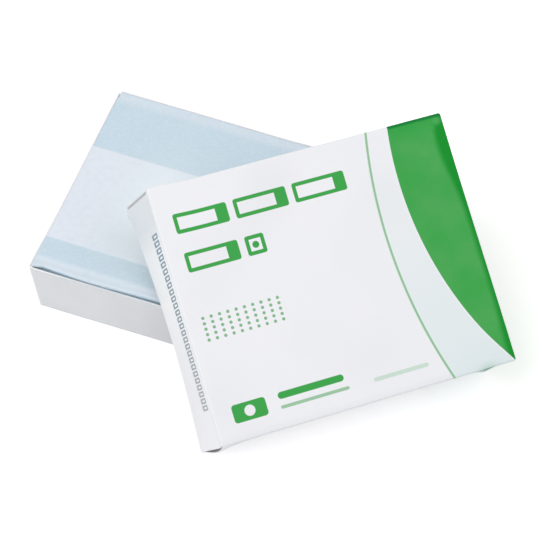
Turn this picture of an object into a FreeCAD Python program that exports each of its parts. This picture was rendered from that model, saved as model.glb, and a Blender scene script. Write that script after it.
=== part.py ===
"""Open box of wrapped microscope slides: a shallow tray, the wrapped block of slides in it,
and the printed lid, taken off and leaning on the tray's front wall.

Tray and lid are each folded from one sheet of board and glued at the corners, where a tab of each
long wall lies inside the short wall. Millimetres; the origin is the middle of the tray's underside,
+X along the tray's long front wall, +Y to its back wall, +Z up. The lid is drawn in a frame of its
own, as it would stand on its rim, with the origin at its lower left corner, and is then tilted.
"""
import FreeCAD, Part
import os
import Sketcher

# Driving dimensions: alias, value, meaning. Lengths in millimetres, angles in degrees.
SIZES = [
    ("slide_length", 76.0, "length of one glass slide"),
    ("slide_count", 50.0, "slides standing side by side in the block"),
    ("slide_pitch", 1.28, "thickness of one slide with its share of slack"),
    ("wrap_end", 0.25, "paper on each end of the block, between the tray's tabs"),
    ("wrap_side", 0.3, "paper on each long side of the block"),
    ("wrap_recess", 0.25, "top of the block below the tray's rim"),
    ("wrap_radius", 0.8, "rounding of the wrapped block's upper edges"),
    ("wrap_corner", 1.2, "rounding of the wrapped block's upright corners"),
    ("overlap_thickness", 0.12, "extra thickness where the paper overlaps on top"),
    ("overlap_back", 21.5, "back edge of the overlap, from the back of the block's top"),
    ("overlap_width", 35.3, "width of the overlap"),
    ("end_fold", 0.45, "folded paper that stands out on each end, between the tabs"),
    ("end_fold_margin", 1.0, "room between the folded paper and a tab's end"),
    ("end_fold_drop", 1.5, "folded paper below the block's top, and above its foot"),
    ("board", 0.5, "thickness of the folding board"),
    ("fold_radius", 0.6, "outside radius of a fold"),
    ("fold_band", 1.0, "upright band beside a fold, where a wall doesn't lean yet"),
    ("pack_play", 0.3, "room between block and tray, on each side"),
    ("lid_slip", 0.35, "room between tray and lid, on each side"),
    ("wall_lean", 1.6, "how far each tray wall leans out at its rim"),
    ("tray_height", 20.2, "height of the tray"),
    ("lid_depth", 29.4, "depth of the lid"),
    ("tab_length", 14.0, "length of a corner tab"),
    ("tab_drop", 1.2, "a tab's cut edge short of the rim"),
    ("end_setback", 0.4, "cut end of a short wall behind the long wall's face"),
    ("flare_front", 0.5, "left lid wall leans out at its front end"),
    ("flare_back", 1.4, "left lid wall leans out at its back end"),
    ("wall_bow", 0.45, "left lid wall bows in at mid-length"),
    ("rim_bow", 0.25, "the lid's other walls bow in at mid-length"),
    ("lid_yaw", 39.2, "turn of the lid's lower edge from the tray's front wall"),
    ("lid_tilt", 29.3, "slope of the leaning lid"),
    ("lean_point", 40.6, "where the lid's rim crosses the front wall, from the tray's left end"),
    ("lean_gap", 0.2, "clearance under the lid's rim where it rests on the tray"),
]

# Sizes worked out from them: alias, formula, meaning.
FITS = [
    ("pack_length", "Sizes.slide_length + 2 * Sizes.wrap_end", "block's foot, between the tabs"),
    ("pack_width", "Sizes.slide_count * Sizes.slide_pitch + 2 * Sizes.wrap_side",
     "block's foot, front to back"),
    ("foot_x", "pack_length / 2 + Sizes.pack_play + 2 * Sizes.board", "tray's underside, half length"),
    ("foot_y", "pack_width / 2 + Sizes.pack_play + Sizes.board", "tray's underside, half width"),
    ("rim_x", "foot_x + Sizes.wall_lean", "tray's rim, half length"),
    ("rim_y", "foot_y + Sizes.wall_lean", "tray's rim, half width"),
    ("slope", "Sizes.wall_lean / (Sizes.tray_height - Sizes.fold_band)",
     "lean of a tray wall, for each millimetre up"),
    ("pack_top", "Sizes.tray_height - Sizes.wrap_recess", "level of the block's top"),
    ("pack_shoulder", "pack_top - Sizes.fold_band", "level where the block's sides stop leaning"),
    ("lid_length", "2 * (rim_x + Sizes.lid_slip + 2 * Sizes.board)", "outside length of the lid"),
    ("lid_width", "2 * (rim_y + Sizes.lid_slip + Sizes.board)", "outside width of the lid"),
    ("wall_top", "Sizes.lid_depth - Sizes.fold_band", "level above which the lid's walls are straight"),
    ("lean_run", "(Sizes.tray_height + Sizes.lean_gap) / tan(Sizes.lid_tilt * 1 deg)",
     "level distance from the lid's lower edge to its resting point"),
    ("lean_inset", "Sizes.board + Sizes.wall_bow", "resting point from the lid's left end"),
    ("lid_x", "Sizes.lean_point - rim_x + lean_run * sin(Sizes.lid_yaw * 1 deg)"
              " - lean_inset * cos(Sizes.lid_yaw * 1 deg)", "lid's lower left corner"),
    ("lid_y", "-rim_y - lean_run * cos(Sizes.lid_yaw * 1 deg)"
              " - lean_inset * sin(Sizes.lid_yaw * 1 deg)", "lid's lower left corner"),
]

NEAR = 1e-4  # two levels or points closer than this are the same
PAST = "1"  # how far a cut's outline reaches past the face that it opens
CORNERS = [(True, True), (False, True), (False, False), (True, False)]  # (left, front) of each corner


def add_sheet(doc, name, rows, prefix):
    """A spreadsheet with one row for each size: its name, its value and what it is."""
    sheet = doc.addObject("Spreadsheet::Sheet", name)
    for row, (alias, value, meaning) in enumerate(rows, start=1):
        sheet.set("A%d" % row, alias)
        sheet.set("B%d" % row, prefix + str(value))
        sheet.setAlias("B%d" % row, alias)
        sheet.set("C%d" % row, meaning)
    doc.recompute()
    return sheet


def add_body(doc, name):
    """An empty body whose label names its file."""
    body = doc.addObject("PartDesign::Body", name)
    body.Label = name
    return body


def pin(sketch, edge, end, place):
    """Ties one point of a sketch to the two formulas of its place."""
    for kind, formula in zip(("DistanceX", "DistanceY"), place):
        length = sketch.evalExpression(formula)
        index = sketch.addConstraint(Sketcher.Constraint(kind, -1, 1, edge, end, length))
        sketch.setExpression("Constraints[%d]" % index, formula)


def outline(body, name, level, corners, bows=None):
    """A closed outline parallel to the body's base, at the height that the formula `level` gives.

    `corners` are pairs of formulas. `bows` gives, for some sides' numbers, the formulas of a point
    halfway along that side: such a side is an arc through it, and the other sides are straight.
    """
    bows = bows or {}
    sketch = body.newObject("Sketcher::SketchObject", name)
    plane = next(part for part in body.Origin.OriginFeatures if part.Role == "XY_Plane")
    sketch.AttachmentSupport = [(plane, "")]
    sketch.MapMode = "FlatFace"
    sketch.setExpression("AttachmentOffset.Base.z", level)

    def point(place):
        return FreeCAD.Vector(sketch.evalExpression(place[0]), sketch.evalExpression(place[1]), 0)

    points = [point(corner) for corner in corners]
    ends = []
    for side, start in enumerate(points):
        finish = points[(side + 1) % len(points)]
        if side in bows:
            edge = sketch.addGeometry(Part.Arc(start, point(bows[side]), finish), False)
        else:
            edge = sketch.addGeometry(Part.LineSegment(start, finish), False)
        forward = sketch.getPoint(edge, 1).isEqual(start, NEAR)
        ends.append((edge, 1, 2) if forward else (edge, 2, 1))
    for side, (edge, first, last) in enumerate(ends):
        following, its_first, _ = ends[(side + 1) % len(ends)]
        sketch.addConstraint(Sketcher.Constraint("Coincident", edge, last, following, its_first))
        pin(sketch, edge, first, corners[side])
    for side, middle in bows.items():
        marker = sketch.addGeometry(Part.Point(point(middle)), True)
        pin(sketch, marker, 1, middle)
        sketch.addConstraint(Sketcher.Constraint("PointOnObject", marker, 1, ends[side][0]))
    return sketch


def loft(body, kind, name, low, high):
    """A loft with straight sides from the outline `low` up to the outline `high`."""
    feature = body.newObject("PartDesign::" + kind, name)
    feature.Profile = low
    feature.Sections = [high]
    feature.Ruled = True
    body.Document.recompute()
    return feature


def extrude(body, kind, name, profile, length):
    """A Pad or a Pocket upward from an outline, as long as the formula `length` gives."""
    feature = body.newObject("PartDesign::" + kind, name)
    feature.Profile = profile
    feature.Reversed = kind == "Pocket"
    feature.setExpression("Length", length)
    body.Document.recompute()
    return feature


def round_edges(body, name, radius, chosen):
    """A fillet, bound to the size `radius`, on the edges for which `chosen` is true."""
    base = body.Tip
    names = ["Edge%d" % number for number, edge in enumerate(base.Shape.Edges, 1) if chosen(edge)]
    feature = body.newObject("PartDesign::Fillet", name)
    feature.Base = (base, names)
    feature.setExpression("Radius", "Sizes." + radius)
    body.Document.recompute()
    return feature


def at_level(height):
    """Chooses the edges that lie at one height."""
    return lambda edge: all(abs(vertex.Z - height) < NEAR for vertex in edge.Vertexes)


def rectangle(left, right, front, back):
    """The corners of a rectangle, from the formulas of its sides."""
    return [(left, front), (right, front), (right, back), (left, back)]


def rounded(left, right, front, back, radius):
    """A rectangle with round corners: its corners, and the halfway points of the four arcs."""
    cut = "(1 - sqrt(1 / 2)) * " + radius  # how far inside the corner a quarter circle's middle lies
    corners = [
        ("%s + %s" % (left, radius), front), ("%s - %s" % (right, radius), front),
        (right, "%s + %s" % (front, radius)), (right, "%s - %s" % (back, radius)),
        ("%s - %s" % (right, radius), back), ("%s + %s" % (left, radius), back),
        (left, "%s - %s" % (back, radius)), (left, "%s + %s" % (front, radius)),
    ]
    near, far = "%s + %s" % (left, cut), "%s - %s" % (right, cut)
    low, high = "%s + %s" % (front, cut), "%s - %s" % (back, cut)
    return corners, {1: (far, low), 3: (far, high), 5: (near, high), 7: (near, low)}


def stepped(left, right, front, back, inset, step):
    """A rectangle whose four corners step in by `inset` along X, over `step` along Y."""
    low, high = "%s + %s" % (front, step), "%s - %s" % (back, step)
    near, far = "%s + %s" % (left, inset), "%s - %s" % (right, inset)
    return [(near, front), (far, front), (far, low), (right, low), (right, high), (far, high),
            (far, back), (near, back), (near, high), (left, high), (left, low), (near, low)]


# ---------------------------------------------------------------- tray

def tray_half(axis, level, inward):
    """Formula: a tray wall's distance from the middle, at a level, `inward` from its outer face."""
    return "(Fits.rim_%s - Fits.slope * (Sizes.tray_height - (%s)) - (%s))" % (axis, level, inward)


def tray_rectangle(level, inward_x, inward_y):
    """The tray's outline at a level, brought inward from its outer face."""
    x, y = tray_half("x", level, inward_x), tray_half("y", level, inward_y)
    return rectangle("-" + x, x, "-" + y, y)


def tray_with_tabs(level):
    """Outline of the tray's inside at a level, with the corner tabs left standing."""
    x, y = tray_half("x", level, "Sizes.board"), tray_half("y", level, "Sizes.board")
    return stepped("-" + x, x, "-" + y, y, "Sizes.board", "Sizes.tab_length")


def notch(level, left, front):
    """Outline of one corner's notch at a level, where a short wall's cut end is set back."""
    x_out, x_in = tray_half("x", level, "-" + PAST), tray_half("x", level, "Sizes.board")
    y_out, y_in = tray_half("y", level, "-" + PAST), tray_half("y", level, "Sizes.end_setback")
    x_side = ("-" + x_out, "-" + x_in) if left else (x_in, x_out)
    y_side = ("-" + y_out, "-" + y_in) if front else (y_in, y_out)
    return rectangle(*x_side, *y_side)


def make_tray(doc):
    """The shallow tray that holds the wrapped block."""
    tray = add_body(doc, "tray")
    band, rim_level = "Sizes.fold_band", "Sizes.tray_height"
    foot = outline(tray, "tray_foot", "0", tray_rectangle(band, "0", "0"))
    extrude(tray, "Pad", "tray_bottom", foot, band)
    round_edges(tray, "tray_folds", "fold_radius", at_level(0))
    base = outline(tray, "tray_wall_base", band, tray_rectangle(band, "0", "0"))
    rim = outline(tray, "tray_rim", rim_level, tray_rectangle(rim_level, "0", "0"))
    loft(tray, "AdditiveLoft", "tray_walls", base, rim)
    floor = outline(tray, "tray_floor", "Sizes.board", tray_with_tabs(band))
    extrude(tray, "Pocket", "tray_floor_hollow", floor, "Sizes.fold_band - Sizes.board")
    low = outline(tray, "tray_inside", band, tray_with_tabs(band))
    mouth = outline(tray, "tray_mouth", rim_level, tray_with_tabs(rim_level))
    loft(tray, "SubtractiveLoft", "tray_hollow", low, mouth)
    tab_top = "Sizes.tray_height - Sizes.tab_drop"
    low = outline(tray, "tab_tops", tab_top, tray_rectangle(tab_top, "Sizes.board", "Sizes.board"))
    high = outline(tray, "tab_room", rim_level, tray_rectangle(rim_level, "Sizes.board", "Sizes.board"))
    loft(tray, "SubtractiveLoft", "tray_tab_drop", low, high)
    for number, (left, front) in enumerate(CORNERS, start=1):
        low = outline(tray, "notch_foot_%d" % number, band, notch(band, left, front))
        high = outline(tray, "notch_rim_%d" % number, rim_level, notch(rim_level, left, front))
        loft(tray, "SubtractiveLoft", "notch_%d" % number, low, high)
    return tray


# ---------------------------------------------------------------- wrapped block of slides

def pack_half(axis, level):
    """Formula: a side of the block from the middle, at a level: between the tabs, but for the play."""
    layers = "2 * Sizes.board" if axis == "x" else "Sizes.board"
    return tray_half(axis, level, layers + " + Sizes.pack_play")


def pack_outline(level):
    """The block's outline at a level, and the halfway points of its round corners."""
    x, y = pack_half("x", level), pack_half("y", level)
    return rounded("-" + x, x, "-" + y, y, "Sizes.wrap_corner")


def end_fold(level, left):
    """Outline at a level of the paper folded over one end of the block, between the tabs."""
    near = "(%s - Sizes.board)" % pack_half("x", level)
    far = "(%s + Sizes.end_fold)" % pack_half("x", level)
    half = "(%s - Sizes.tab_length - Sizes.end_fold_margin)" % tray_half("y", level, "Sizes.board")
    if left:
        return rectangle("-" + far, "-" + near, "-" + half, half)
    return rectangle(near, far, "-" + half, half)


def make_pack(doc, fits):
    """The slides, wrapped in paper as one sealed block that stands on the tray's floor."""
    pack = add_body(doc, "slide_pack")
    band, shoulder = "Sizes.fold_band", "Fits.pack_shoulder"
    top = outline(pack, "pack_shoulder_outline", shoulder, *pack_outline(shoulder))
    extrude(pack, "Pad", "pack_top_band", top, "Fits.pack_top - Fits.pack_shoulder")
    round_edges(pack, "pack_shoulders", "wrap_radius", at_level(fits.pack_top))
    low = outline(pack, "pack_side_foot", band, *pack_outline(band))
    high = outline(pack, "pack_side_top", shoulder, *pack_outline(shoulder))
    loft(pack, "AdditiveLoft", "pack_sides", low, high)
    foot = outline(pack, "pack_foot", "Sizes.board", *pack_outline(band))
    extrude(pack, "Pad", "pack_foot_band", foot, "Sizes.fold_band - Sizes.board")
    low_level, high_level = "Sizes.board + Sizes.end_fold_drop", "Fits.pack_top - Sizes.end_fold_drop"
    for name, left in (("left", True), ("right", False)):
        low = outline(pack, "%s_fold_foot" % name, low_level, end_fold(low_level, left))
        high = outline(pack, "%s_fold_top" % name, high_level, end_fold(high_level, left))
        loft(pack, "AdditiveLoft", "%s_end_fold" % name, low, high)
    side = "(%s - Sizes.wrap_radius)" % pack_half("x", shoulder)
    back = "(%s - Sizes.overlap_back)" % pack_half("y", shoulder)
    front = "(%s - Sizes.overlap_width)" % back
    strip = outline(pack, "overlap_outline", "Fits.pack_top", rectangle("-" + side, side, front, back))
    extrude(pack, "Pad", "paper_overlap", strip, "Sizes.overlap_thickness")
    return pack


# ---------------------------------------------------------------- lid

def lid_left(across, level, inward):
    """Formula: the left wall's X at a distance across the lid and a level: it flares and bows."""
    share = "((%s) / Fits.lid_width)" % across
    flare = "(Sizes.flare_front * (1 - {0}) + Sizes.flare_back * {0})".format(share)
    hollow = "(Sizes.wall_bow + (Sizes.flare_front + Sizes.flare_back) / 2)"
    rim = "(4 * %s * %s * (1 - %s) - %s)" % (hollow, share, share, flare)
    return "(%s * (1 - (%s) / Fits.wall_top) + (%s))" % (rim, level, inward)


def lid_right(across, level, inward):
    """Formula: the right wall's X at a distance across the lid and a level: it bows a little."""
    share = "((%s) / Fits.lid_width)" % across
    rim = "(4 * Sizes.rim_bow * %s * (1 - %s))" % (share, share)
    return "(Fits.lid_length - %s * (1 - (%s) / Fits.wall_top) - (%s))" % (rim, level, inward)


def long_wall(level, inward):
    """Formula: how far in from its corners a long wall lies at mid-length."""
    return "(Sizes.rim_bow * (1 - (%s) / Fits.wall_top) + (%s))" % (level, inward)


def lid_rectangle(level, inward):
    """The lid's outline at a level below its top, brought inward, and its four bowed sides."""
    back = "(Fits.lid_width - (%s))" % inward
    middle, half = "(Fits.lid_width / 2)", "(Fits.lid_length / 2)"
    corners = [
        (lid_left(inward, level, inward), inward),
        (lid_right(inward, level, inward), inward),
        (lid_right(back, level, inward), back),
        (lid_left(back, level, inward), back),
    ]
    bows = {
        0: (half, long_wall(level, inward)),
        1: (lid_right(middle, level, inward), middle),
        2: (half, "(Fits.lid_width - %s)" % long_wall(level, inward)),
        3: (lid_left(middle, level, inward), middle),
    }
    return corners, bows


def lid_with_tabs(level):
    """Outline of the lid's inside at a level, with the corner tabs left standing, and its bows."""
    one, two = "Sizes.board", "2 * Sizes.board"
    front, low = "Sizes.board", "(Sizes.board + Sizes.tab_length)"
    back, high = "(Fits.lid_width - Sizes.board)", "(Fits.lid_width - Sizes.board - Sizes.tab_length)"
    middle, half = "(Fits.lid_width / 2)", "(Fits.lid_length / 2)"
    corners = [
        (lid_left(front, level, two), front),
        (lid_right(front, level, two), front),
        (lid_right(low, level, two), low),
        (lid_right(low, level, one), low),
        (lid_right(high, level, one), high),
        (lid_right(high, level, two), high),
        (lid_right(back, level, two), back),
        (lid_left(back, level, two), back),
        (lid_left(high, level, two), high),
        (lid_left(high, level, one), high),
        (lid_left(low, level, one), low),
        (lid_left(low, level, two), low),
    ]
    bows = {
        0: (half, long_wall(level, front)),
        3: (lid_right(middle, level, one), middle),
        6: (half, "(Fits.lid_width - %s)" % long_wall(level, front)),
        9: (lid_left(middle, level, one), middle),
    }
    return corners, bows


def lid_notch(level, left, front):
    """Outline of one corner's notch at a level, where a short wall's cut end is set back."""
    at, near, far = "0", "-" + PAST, "Sizes.end_setback"
    if not front:
        at, near, far = "Fits.lid_width", "Fits.lid_width - Sizes.end_setback", "Fits.lid_width + " + PAST
    if left:
        return rectangle(lid_left(at, level, "-" + PAST), lid_left(at, level, "Sizes.board"), near, far)
    return rectangle(lid_right(at, level, "Sizes.board"), lid_right(at, level, "-" + PAST), near, far)


def make_lid(doc, sizes):
    """The lid, drawn standing on its rim and then leaned on the tray."""
    lid = add_body(doc, "lid")
    top_corners, _ = lid_rectangle("Fits.wall_top", "0")
    top = outline(lid, "lid_top", "Fits.wall_top", top_corners)
    extrude(lid, "Pad", "lid_top_band", top, "Sizes.fold_band")
    round_edges(lid, "lid_folds", "fold_radius", at_level(sizes.lid_depth))
    rim = outline(lid, "lid_rim", "0", *lid_rectangle("0", "0"))
    loft(lid, "AdditiveLoft", "lid_walls", rim, top)
    inner_corners, _ = lid_with_tabs("Fits.wall_top")
    inner = outline(lid, "lid_inside", "Fits.wall_top", inner_corners)
    extrude(lid, "Pocket", "lid_ceiling", inner, "Sizes.fold_band - Sizes.board")
    mouth = outline(lid, "lid_mouth", "0", *lid_with_tabs("0"))
    loft(lid, "SubtractiveLoft", "lid_hollow", mouth, inner)
    low = outline(lid, "lid_tab_room", "0", *lid_rectangle("0", "Sizes.board"))
    high = outline(lid, "lid_tab_ends", "Sizes.tab_drop", *lid_rectangle("Sizes.tab_drop", "Sizes.board"))
    loft(lid, "SubtractiveLoft", "lid_tab_drop", low, high)
    for number, (left, front) in enumerate(CORNERS, start=1):
        low = outline(lid, "lid_notch_rim_%d" % number, "0", lid_notch("0", left, front))
        high = outline(lid, "lid_notch_top_%d" % number, "Fits.wall_top",
                       lid_notch("Fits.wall_top", left, front))
        loft(lid, "SubtractiveLoft", "lid_notch_%d" % number, low, high)
    lid.setExpression("Placement", "placement(vector(Fits.lid_x; Fits.lid_y; 0);"
                                   " rotation(Sizes.lid_yaw; 0; Sizes.lid_tilt))")
    return lid


# ---------------------------------------------------------------- the document

def check(doc, bodies):
    """Stops if any object of the document failed, or a piece isn't one valid solid."""
    for item in doc.Objects:
        if {"Invalid", "Error"} & set(item.State):
            raise RuntimeError("%s failed: %s" % (item.Label, item.State))
    for body in bodies:
        shape = body.Shape
        if shape.isNull() or not shape.isValid() or len(shape.Solids) != 1:
            raise RuntimeError("%s is not one valid solid" % body.Label)


def main():
    doc = FreeCAD.newDocument("slide_box")
    sizes = add_sheet(doc, "Sizes", SIZES, "")
    fits = add_sheet(doc, "Fits", FITS, "=")
    bodies = [make_tray(doc), make_pack(doc, fits), make_lid(doc, sizes)]
    doc.recompute()
    check(doc, bodies)
    os.makedirs("parts", exist_ok=True)
    for body in bodies:
        body.Shape.exportStep("parts/%s.step" % body.Label)
        box = body.Shape.optimalBoundingBox()
        print("%-11s %8.0f mm3, x %6.1f to %6.1f, y %6.1f to %6.1f, z %5.2f to %5.2f" % (
            body.Label, body.Shape.Volume, box.XMin, box.XMax, box.YMin, box.YMax, box.ZMin, box.ZMax))


main()
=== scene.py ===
"""Looks of an opened box of microscope slides: a printed lid that leans on a shallow tray, and in
the tray the block of slides, wrapped in pale blue paper.

Lid and tray are each one folded sheet of board with a glued tab at each corner. They are built as
that sheet's outer face, which is then given the board's thickness. Lengths are in millimetres
until a mesh is made, and angles in degrees. A carton's own frame has its panel on top, the rim at
level 0, X along its long walls and the origin under the panel's front left corner.
"""
import math

import bmesh
import bpy
from mathutils import Matrix, Vector, noise


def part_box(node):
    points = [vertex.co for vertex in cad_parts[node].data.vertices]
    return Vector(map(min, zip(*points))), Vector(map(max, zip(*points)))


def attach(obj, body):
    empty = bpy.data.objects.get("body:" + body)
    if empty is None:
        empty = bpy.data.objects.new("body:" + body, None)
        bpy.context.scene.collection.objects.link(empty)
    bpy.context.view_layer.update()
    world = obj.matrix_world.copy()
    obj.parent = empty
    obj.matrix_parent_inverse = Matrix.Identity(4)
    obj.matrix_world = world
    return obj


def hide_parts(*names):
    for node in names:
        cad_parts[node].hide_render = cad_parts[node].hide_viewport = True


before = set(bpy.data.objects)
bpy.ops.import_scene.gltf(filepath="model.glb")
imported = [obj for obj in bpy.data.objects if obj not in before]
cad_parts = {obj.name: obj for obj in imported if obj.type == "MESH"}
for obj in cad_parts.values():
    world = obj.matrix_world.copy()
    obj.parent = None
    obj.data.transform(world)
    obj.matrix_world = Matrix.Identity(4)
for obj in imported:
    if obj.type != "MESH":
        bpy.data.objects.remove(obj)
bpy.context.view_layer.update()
MM = 0.001

# ---- sizes shared by both cartons
BOARD = 0.5  # thickness of the board
FOLD = 0.6  # outside radius of a fold, and how far a short wall's cut end is set back
CORNER = 0.55  # outside radius of the upright fold between a long wall and its tab
GLUE = 0.06  # room between a tab and the short wall that it is glued to
TAB = 14.0  # length of a tab
TAB_START = 0.7  # a tab's upper cut edge below the panel's fold
TAB_END = 1.2  # its lower cut edge above the rim
ARC_STEPS = 6  # steps round a fold
TAB_STEPS = 8  # steps along a tab
NEAR_FOLD = (0, 0.5, 1.0, 1.6, 2.3, 3.1, 4.0)  # places along the panel, from a fold inwards,
INNER = 5.0  # and from here on they are evenly spaced,
SPACING = 1.5  # by about this much
WELD = 0.002  # points closer together than this are one
SHARP = 40  # edges that turn by more degrees than this stay sharp

# ---- lid
LID_FLARE = (0.5, 1.4)  # how far the left wall's rim stands out at its front and its back end
LID_FLARE_CORNER = (0.4, 0.93, 0.05)  # more at the back corner: how much, from what share, how soon
LID_BOW_LEFT = 0.45  # how far the left wall's rim bows inside its fold at mid-length
LID_BOW = 0.25  # how far the other walls' rims bow in
LID_END_FRONT = (0.65, 0.4)  # how far a short wall's front end stands out, at its fold and its rim
LID_END_BACK = 0.8  # how far its back end is set back
LID_SLACK = (0.9, 0.15)  # how far the left tabs stand off: the front one at mid-height, the other
LID_GAPE = 1.1  # how far the front left corner has sprung open, at mid-height
LID_GAPE_REACH = 5.0  # length of the front wall over which that fades
# How far a corner stands out, and the lengths along X and Y over which that fades:
LID_STRETCH = (0.6, 14.0, 25.0)  # the back left one, backwards
LID_SPLAY = (0.45, 8.0, 60.0)  # the front right one, to the right
LID_BUCKLE = (7.8, 1.9, 0.6)  # the front wall's buckle: middle from the right, width, height
LID_BUCKLE_DROP = (0.05, 0.04)  # its middle and its reach, as shares of the way down the wall
LID_WAVE = (0.06, 22.0)  # height and size of the panel's soft waves
LID_ROLL = 0.32  # how far the panel curves down at its right edge
LID_ROLL_REACH = 1.6  # width of the strip that does
LID_ROLL_BACK = (9.0, 13.0, 1.8)  # where near the back it is wider, how long, and by how much
LID_ROLL_FRONT = (4.0, 8.0, 1.0)  # and near the front

# ---- tray
TRAY_LEAN = 1.6  # how far each wall leans out at the rim
TRAY_NOTCH = 0.35  # how much shorter the short walls are at the rim
TRAY_NOTCH_START = 0.8  # where that starts, as a share of the way from the floor to the rim
TRAY_STRETCH = (0.4, 0.5)  # how far the front left corner stands out, to the left and to the front
TRAY_STRETCH_X = (10.0, 50.0)  # lengths along X over which each of these fades
TRAY_STRETCH_Y = 20.0  # and the length along Y over which both do
TRAY_BOW = 0.1  # how far the back wall's rim stands out, but for one dip
TRAY_DIP = (0.62, 0.08)  # that dip's middle and width, as shares of the length from the left
TRAY_BULGE = (0.78, 0.06, 0.2)  # middle, width and height of a bulge beside it

# ---- wrapped block
OVERLAP = (-23.1, 12.25)  # front and back edge of the paper's overlap
OVERLAP_STEP = 0.12  # extra thickness there
SHOULDER = -29.9  # from here to the front the paper stands off the glass
BACK_SHOULDER = 30.8  # and from here to the back
CREASE = -31.7  # a crease along the front shoulder
SLIDE_PITCH = 1.28
LIT_PATCH = ((-15.0, 10.0), (-6.0, 18.0))  # painted light on the paper beside the lid, lifting its shadow: middle and width, in X and in Y

# ---- colours as seen: sRGB, 0 to 255
WHITE = (244, 244, 248)
WHITE_CLOUD = (242, 243, 247)
TRAY_WHITE = (230, 232, 236)
TRAY_CLOUD = (227, 229, 232)
INSIDE = (232, 233, 234)
INSIDE_FLECK = (220, 220, 218)
CUT_EDGE = (244, 244, 247)
CUT_LAYER = (236, 236, 239)
# painted shade on the rim of the tray's front wall
EDGE_SHADE = (214, 218, 224)
# painted shade on the tabs, for the dark gap behind the lid's left wall
TAB_SHADE = (96, 98, 101)
# painted shade on the lid's left fold, offsetting its highlight
FOLD_SHADE_WHITE = (231, 232, 236)
WALL_SHADE = (226, 231, 235)
WALL_LIGHT = (252, 254, 254)
GREEN = (60, 167, 75)
# painted shade: a deeper green where the board curls away and loses its sheen
SHADED_GREEN = (0, 148, 40)
# painted shade along the back fold
BACK_FOLD_SHADE = (0, 128, 52)
PALE_FIELD_GREEN = (92, 175, 99)
BACK_FIELD_GREEN = (34, 164, 62)
# painted shade round the buckle in the lid's front wall
DENT_SHADE_SOFT = (196, 222, 214)
DENT_SHADE_DEEP = (150, 180, 172)
LINE_GREEN = (152, 198, 159)
WORN_GREEN = (88, 184, 104)
PALE_GREEN = (134, 186, 142)
BAR_GREEN = (158, 200, 165)
FAINT_GREEN = (206, 226, 213)
TINT = (228, 238, 240)
SMALL_PRINT = (126, 147, 163)
SMALL_PRINT_FRONT = (164, 168, 174)
PAPER_LIGHT = (230, 237, 246)
PAPER_BLUE = (201, 222, 234)
PAPER_SHADE = (205, 214, 224)
PAPER_VIOLET = (206, 218, 238)
# painted light down the block's sides, in the gap by the tray's walls
PAPER_GAP_LIGHT = (212, 236, 250)
PAPER_LIT = (240, 252, 255)
FLOOR_GREY = (245, 245, 245)
FLOOR_GLOW = (255, 255, 255)
SOFT = 0.05  # half the width over which a printed edge fades


def linear(colour):
    """A colour's linear values, with alpha, from its sRGB values."""
    def one(value):
        value /= 255
        return value / 12.92 if value <= 0.04045 else ((value + 0.055) / 1.055) ** 2.4
    return tuple(one(value) for value in colour) + (1.0,)


def mix(low, high, share):
    """The value a share of the way from low to high."""
    return low + (high - low) * share


def smooth(share):
    """A share from 0 to 1, eased at both ends and held outside them."""
    share = min(max(share, 0.0), 1.0)
    return share * share * (3 - 2 * share)


def fade(distance, reach):
    """1 where the distance is 0, easing to 0 at the reach."""
    return smooth(1 - distance / reach)


def hump(value, middle, width, height=1.0):
    """A bell round `middle`."""
    return height * math.exp(-((value - middle) / width) ** 2)


def arch(share):
    """0 at shares 0 and 1, rising to 1 halfway between."""
    return 4 * share * (1 - share)


def back_bow(share):
    """How far the tray's back rim stands out, at a share of its length from the left."""
    return TRAY_BOW * (1 - hump(share, *TRAY_DIP)) + hump(share, *TRAY_BULGE)


def steps(low, high, count):
    """`count` equal steps from low to high, both ends included."""
    return [mix(low, high, index / count) for index in range(count + 1)]


def stations(low, high, near, inner, count):
    """Places from low to high: the near ones from both ends, and from `inner` on equal steps."""
    first = [low + place for place in near]
    last = [high - place for place in reversed(near)]
    return first + steps(low + inner, high - inner, count) + last


def add(name, data):
    """A new object in the scene."""
    made = bpy.data.objects.new(name, data)
    bpy.context.scene.collection.objects.link(made)
    return made


# ---- meshes

class Sheet:
    """A mesh in the making: welded patches of quads, each point with its place on the print."""

    def __init__(self):
        self.bm = bmesh.new()
        self.print = self.bm.verts.layers.float_vector.new("print")

    def patch(self, rows, flip=False):
        """Adds a grid of points, given as rows of (place, place on the print) pairs."""
        grid = []
        for row in rows:
            line = []
            for place, printed in row:
                vertex = self.bm.verts.new(Vector(place))
                vertex[self.print] = Vector(printed)
                line.append(vertex)
            grid.append(line)
        for low, high in zip(grid, grid[1:]):
            for index in range(len(low) - 1):
                corners = [low[index], low[index + 1], high[index + 1], high[index]]
                self.bm.faces.new(reversed(corners) if flip else corners)

    def finish(self, name, matrix, materials, thickness=0):
        """The piece, welded, moved into the row's frame, in metres, with its thickness inwards."""
        bmesh.ops.remove_doubles(self.bm, verts=self.bm.verts, dist=WELD)
        mesh = bpy.data.meshes.new(name)
        self.bm.to_mesh(mesh)
        self.bm.free()
        mesh.transform(matrix)
        piece = add(name, mesh)
        for material in materials:
            mesh.materials.append(material)
        if thickness:
            board = piece.modifiers.new("board", "SOLIDIFY")
            board.thickness = thickness * MM
            board.offset = -1
            board.use_quality_normals = True
            board.material_offset = 1
            board.material_offset_rim = 2
            view = bpy.context.evaluated_depsgraph_get()
            solid = bpy.data.meshes.new_from_object(piece.evaluated_get(view))
            piece.modifiers.clear()
            piece.data = solid
            solid.name = name
            bpy.data.meshes.remove(mesh)
        piece.data.shade_smooth()
        piece.data.set_sharp_from_angle(angle=math.radians(SHARP))
        return piece


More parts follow.
